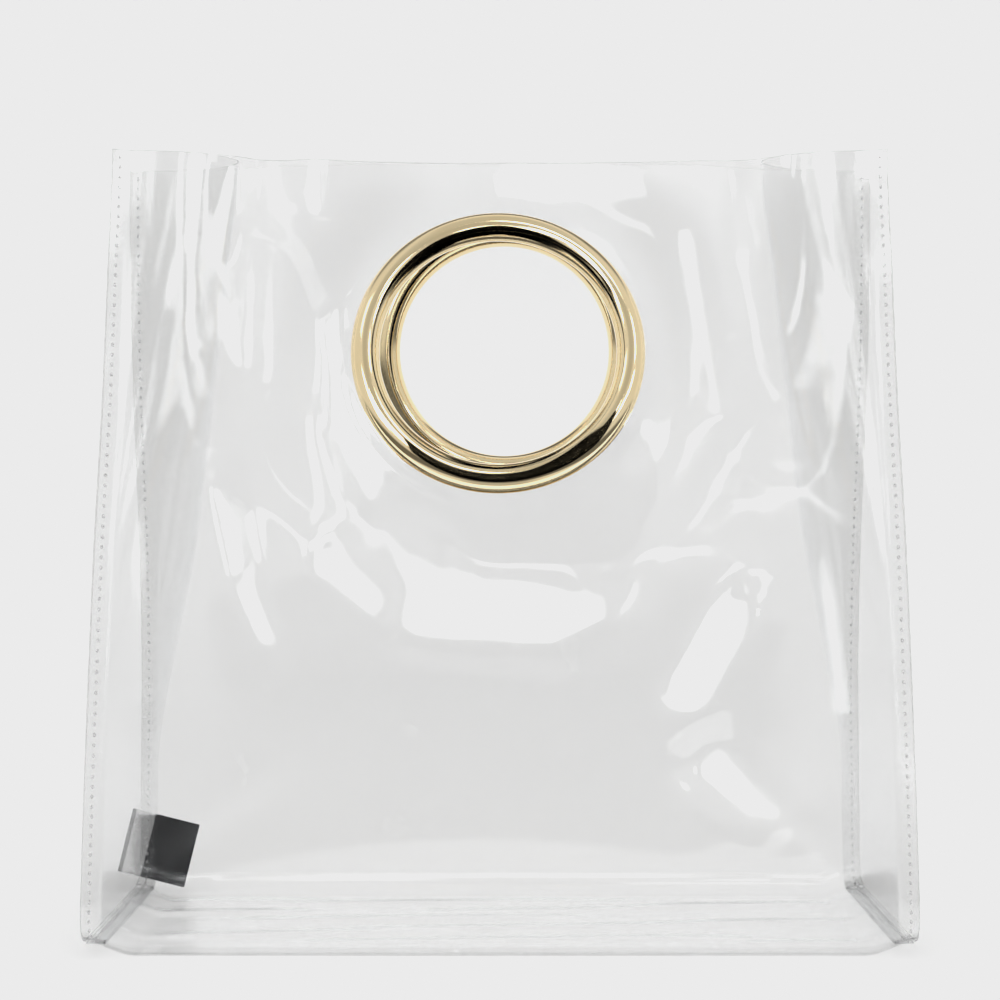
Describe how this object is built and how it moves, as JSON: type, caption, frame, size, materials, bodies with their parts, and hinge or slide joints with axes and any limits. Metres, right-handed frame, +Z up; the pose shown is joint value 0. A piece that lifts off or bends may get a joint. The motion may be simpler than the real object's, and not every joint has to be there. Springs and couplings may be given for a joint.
{
  "type": "clear tote bag",
  "caption": "Upright open tote bag of clear plastic film with folded-in sides, polished gold ring handles set in the front and rear panels, and a plain black tag at a lower corner.",
  "frame": {"origin": "middle of the bag's own box, on the surface that it stands on", "axes": "+X across the bag to the right as seen from the front, +Y from the front to the rear, +Z up"},
  "size_m": [0.3098, 0.133, 0.3015],
  "materials": {
    "clear_film": "clear and glossy",
    "gold_metal": "polished pale gold plating",
    "black_tag": "smooth black"
  },
  "bodies": {
    "root": {"body_sheet": "clear_film", "left_gusset": "clear_film", "right_gusset": "clear_film", "front_ring": "gold_metal", "rear_ring": "gold_metal", "tag": "black_tag"}
  },
  "joints": []
}
